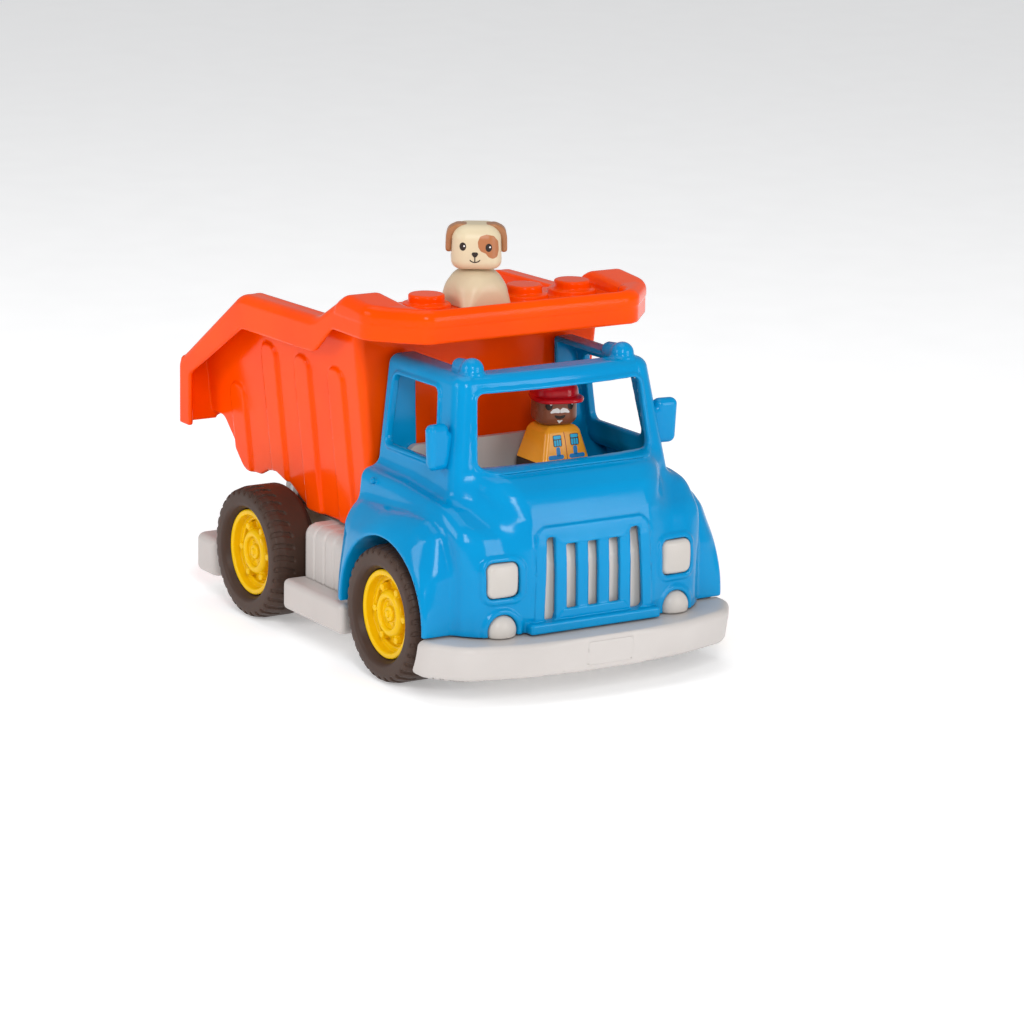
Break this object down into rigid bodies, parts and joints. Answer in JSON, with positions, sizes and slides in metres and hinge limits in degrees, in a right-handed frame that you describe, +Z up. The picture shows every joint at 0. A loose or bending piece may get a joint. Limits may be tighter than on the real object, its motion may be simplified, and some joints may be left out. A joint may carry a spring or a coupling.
{
  "type": "toy dump truck",
  "caption": "Chunky toddler's toy dump truck with a tipping bed, free-rolling wheels, a studded canopy, an open-backed cab and two removable block figures.",
  "frame": {"origin": "on the ground, under the middle of the bounding box", "axes": "+Z up, -Y to the front of the truck, +X to the truck's left"},
  "size_m": [0.198, 0.332, 0.2447],
  "materials": {
    "bed_orange": "gloss moulded",
    "cab_blue": "gloss moulded",
    "body_grey": "satin moulded",
    "tyre_brown": "matt moulded",
    "hub_yellow": "gloss moulded",
    "axle_steel": "drawn",
    "dog_cream": "satin moulded",
    "driver_dark": "satin moulded",
    "jacket_amber": "satin moulded",
    "driver_skin": "satin moulded",
    "hat_red": "gloss moulded"
  },
  "bodies": {
    "chassis": {"chassis_frame": "body_grey", "front_bumper": "body_grey", "rear_bumper": "body_grey", "step_left": "body_grey", "step_right": "body_grey", "tank_left": "body_grey", "tank_right": "body_grey", "axle_clamp_front": "body_grey", "axle_clamp_rear": "body_grey", "clamp_screws": "axle_steel", "bed_hinge_pin": "axle_steel", "cab_shell": "cab_blue", "lamp_insert": "body_grey", "mirror_left": "cab_blue", "mirror_right": "cab_blue", "seat_block": "body_grey"},
    "tipping_bed": {"bed_shell": "bed_orange"},
    "front_wheels": {"front_axle": "axle_steel", "front_hub_left": "hub_yellow", "front_hub_right": "hub_yellow", "front_tyre_left": "tyre_brown", "front_tyre_right": "tyre_brown"},
    "rear_wheels": {"rear_axle": "axle_steel", "rear_hub_left": "hub_yellow", "rear_hub_right": "hub_yellow", "rear_tyre_left": "tyre_brown", "rear_tyre_right": "tyre_brown"},
    "driver_figure": {"driver_legs": "driver_dark", "driver_jacket": "jacket_amber"},
    "driver_upper": {"driver_head": "driver_skin", "driver_hat": "hat_red"},
    "dog_figure": {"dog_body": "dog_cream"},
    "dog_upper": {"dog_head": "dog_cream"}
  },
  "joints": [
    {"name": "bed_tip", "type": "hinge", "parent": "chassis", "child": "tipping_bed", "pos_m": [0, 0.09, 0.069], "axis": [-1, 0, 0], "range_deg": [0, 45]},
    {"name": "front_axle_spin", "type": "hinge", "parent": "chassis", "child": "front_wheels", "pos_m": [0, -0.0826, 0.0385], "axis": [1, 0, 0], "continuous": true},
    {"name": "rear_axle_spin", "type": "hinge", "parent": "chassis", "child": "rear_wheels", "pos_m": [0, 0.0728, 0.0385], "axis": [1, 0, 0], "continuous": true},
    {"name": "driver_lift", "type": "slide", "parent": "chassis", "child": "driver_figure", "axis": [0, 0, 1], "range_m": [0, 0.025]},
    {"name": "driver_head_turn", "type": "hinge", "parent": "driver_figure", "child": "driver_upper", "pos_m": [0.027, -0.06, 0.128], "axis": [0, 0, 1], "continuous": true},
    {"name": "dog_lift", "type": "slide", "parent": "tipping_bed", "child": "dog_figure", "axis": [0, 0, 1], "range_m": [0, 0.03]},
    {"name": "dog_head_turn", "type": "hinge", "parent": "dog_figure", "child": "dog_upper", "pos_m": [-0.01588, -0.044, 0.2175], "axis": [0, 0, 1], "continuous": true}
  ]
}
